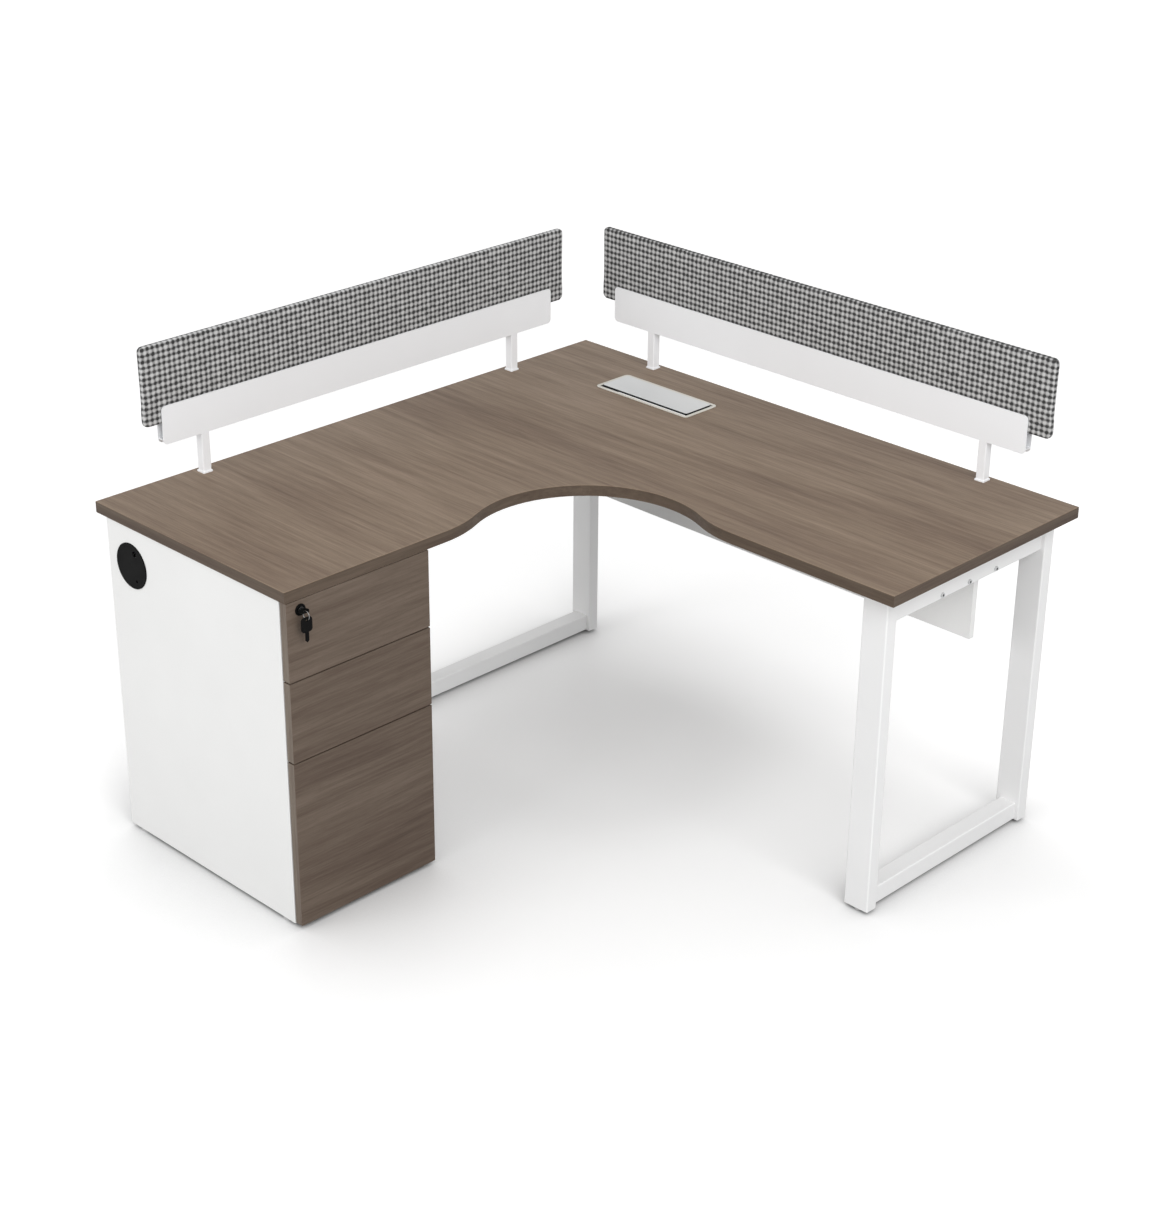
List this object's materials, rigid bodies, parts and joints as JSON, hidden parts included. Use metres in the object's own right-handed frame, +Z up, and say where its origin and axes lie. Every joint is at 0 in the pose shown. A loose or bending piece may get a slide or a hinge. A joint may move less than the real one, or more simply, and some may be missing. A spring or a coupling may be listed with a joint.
{
  "type": "l-shaped desk",
  "caption": "L-shaped office desk: wood-grain top with a curved inner bay, white loop legs, locking drawer pedestal, flip-up cable port and fabric screens raised above its outer edges.",
  "frame": {"origin": "centre of the square footprint at floor level", "axes": "+Z up; the back arm runs along +X at the +Y side, the side arm runs along -Y at the -X side, and the sitter faces the outer corner at -X +Y"},
  "size_m": [1.4, 1.4, 1.052],
  "materials": {
    "top_wood": "matt grey-brown wood-grain laminate",
    "front_wood": "matt grey-brown wood-grain laminate",
    "white_board": "matt white laminated board",
    "drawer_board": "pale grey laminated board",
    "white_paint": "satin white powder coat",
    "grey_plastic": "moulded light grey plastic",
    "steel": "zinc-plated steel",
    "black_metal": "satin black",
    "lock_steel": "nickel-plated steel",
    "key_metal": "dark plated steel",
    "black_plastic": "moulded black plastic",
    "port_trim": "moulded pale beige-grey plastic",
    "port_metal": "satin anodised aluminium",
    "channel_metal": "white-coated aluminium",
    "screen_fabric": "coarse black and light grey woven cover over a board core"
  },
  "bodies": {
    "desk": {"angle_brackets": "white_paint", "beam_bolts": "black_metal", "beam_end_plates": "white_paint", "bracket_screws": "steel", "cabinet_runners": "steel", "cable_port_frame": "port_trim", "corner_leg_bottom_rail": "white_paint", "corner_leg_posts": "white_paint", "corner_leg_top_rail": "white_paint", "cross_beam": "white_paint", "divider_clamp_screws": "steel", "divider_studs": "steel", "end_divider_channel": "channel_metal", "end_divider_panel": "screen_fabric", "end_divider_posts": "channel_metal", "end_leg_bottom_rail": "white_paint", "end_leg_posts": "white_paint", "end_leg_top_rail": "white_paint", "grommet_liner": "black_plastic", "leg_end_plugs": "grey_plastic", "lock_bar_guides": "grey_plastic", "modesty_panel": "white_board", "pedestal_back": "white_board", "pedestal_floor": "white_board", "pedestal_glides": "grey_plastic", "pedestal_inner_side": "white_board", "pedestal_outer_side": "white_board", "pedestal_stretchers": "white_board", "side_divider_channel": "channel_metal", "side_divider_panel": "screen_fabric", "side_divider_posts": "channel_metal", "worktop": "top_wood"},
    "upper_drawer": {"upper_drawer_front": "front_wood", "upper_drawer_box": "drawer_board", "upper_drawer_floor": "drawer_board", "upper_drawer_runners": "steel", "lock_barrel": "black_metal"},
    "upper_carriers": {"upper_runner_carriers": "steel"},
    "centre_drawer": {"centre_drawer_front": "front_wood", "centre_drawer_box": "drawer_board", "centre_drawer_floor": "drawer_board", "centre_drawer_runners": "steel"},
    "centre_carriers": {"centre_runner_carriers": "steel"},
    "lower_drawer": {"lower_drawer_front": "front_wood", "lower_drawer_box": "drawer_board", "lower_drawer_floor": "drawer_board", "lower_drawer_runners": "steel"},
    "lower_carriers": {"lower_runner_carriers": "steel"},
    "lock": {"lock_plug": "lock_steel", "lock_key": "black_plastic", "key_ring": "lock_steel"},
    "spare_key": {"spare_key_head": "black_plastic", "spare_key_blade": "key_metal"},
    "lock_bar": {"lock_bar": "steel"},
    "port_lid": {"cable_port_lid": "port_metal"},
    "grommet_cap": {"grommet_cap": "black_plastic"},
    "end_front_foot": {"end_front_foot": "grey_plastic"},
    "end_back_foot": {"end_back_foot": "grey_plastic"},
    "corner_front_foot": {"corner_front_foot": "grey_plastic"},
    "corner_back_foot": {"corner_back_foot": "grey_plastic"}
  },
  "joints": [
    {"name": "upper_drawer_slide", "type": "slide", "parent": "desk", "child": "upper_drawer", "axis": [1, 0, 0], "range_m": [0, 0.38]},
    {"name": "upper_carrier_slide", "type": "slide", "parent": "desk", "child": "upper_carriers", "axis": [1, 0, 0], "range_m": [0, 0.19]},
    {"name": "centre_drawer_slide", "type": "slide", "parent": "desk", "child": "centre_drawer", "axis": [1, 0, 0], "range_m": [0, 0.38]},
    {"name": "centre_carrier_slide", "type": "slide", "parent": "desk", "child": "centre_carriers", "axis": [1, 0, 0], "range_m": [0, 0.19]},
    {"name": "lower_drawer_slide", "type": "slide", "parent": "desk", "child": "lower_drawer", "axis": [1, 0, 0], "range_m": [0, 0.38]},
    {"name": "lower_carrier_slide", "type": "slide", "parent": "desk", "child": "lower_carriers", "axis": [1, 0, 0], "range_m": [0, 0.19]},
    {"name": "lock_turn", "type": "hinge", "parent": "upper_drawer", "child": "lock", "pos_m": [-0.11, -0.663, 0.698], "axis": [-1, 0, 0], "range_deg": [0, 90]},
    {"name": "lock_bar_lift", "type": "slide", "parent": "desk", "child": "lock_bar", "axis": [0, 0, 1], "range_m": [0, 0.0113]},
    {"name": "spare_key_hang", "type": "hinge", "parent": "lock", "child": "spare_key", "pos_m": [-0.083, -0.663, 0.6822], "axis": [1, 0, 0], "range_deg": [0, 90]},
    {"name": "port_lid_hinge", "type": "hinge", "parent": "desk", "child": "port_lid", "pos_m": [-0.323, 0.5832, 0.7445], "axis": [-1, 0, 0], "range_deg": [0, 95]},
    {"name": "grommet_cap_turn", "type": "hinge", "parent": "desk", "child": "grommet_cap", "pos_m": [-0.593, -0.695, 0.636], "axis": [0, -1, 0], "continuous": true},
    {"name": "end_front_foot_level", "type": "slide", "parent": "desk", "child": "end_front_foot", "axis": [0, 0, -1], "range_m": [0, 0.01]},
    {"name": "end_back_foot_level", "type": "slide", "parent": "desk", "child": "end_back_foot", "axis": [0, 0, -1], "range_m": [0, 0.01]},
    {"name": "corner_front_foot_level", "type": "slide", "parent": "desk", "child": "corner_front_foot", "axis": [0, 0, -1], "range_m": [0, 0.01]},
    {"name": "corner_back_foot_level", "type": "slide", "parent": "desk", "child": "corner_back_foot", "axis": [0, 0, -1], "range_m": [0, 0.01]}
  ],
  "couplings": [
    {"joint": "upper_carrier_slide", "follows": "upper_drawer_slide", "ratio": 0.5},
    {"joint": "centre_carrier_slide", "follows": "centre_drawer_slide", "ratio": 0.5},
    {"joint": "lower_carrier_slide", "follows": "lower_drawer_slide", "ratio": 0.5},
    {"joint": "lock_turn", "follows": "lock_bar_lift", "rad_per_m": 138.76},
    {"joint": "spare_key_hang", "follows": "lock_bar_lift", "rad_per_m": 138.76}
  ]
}
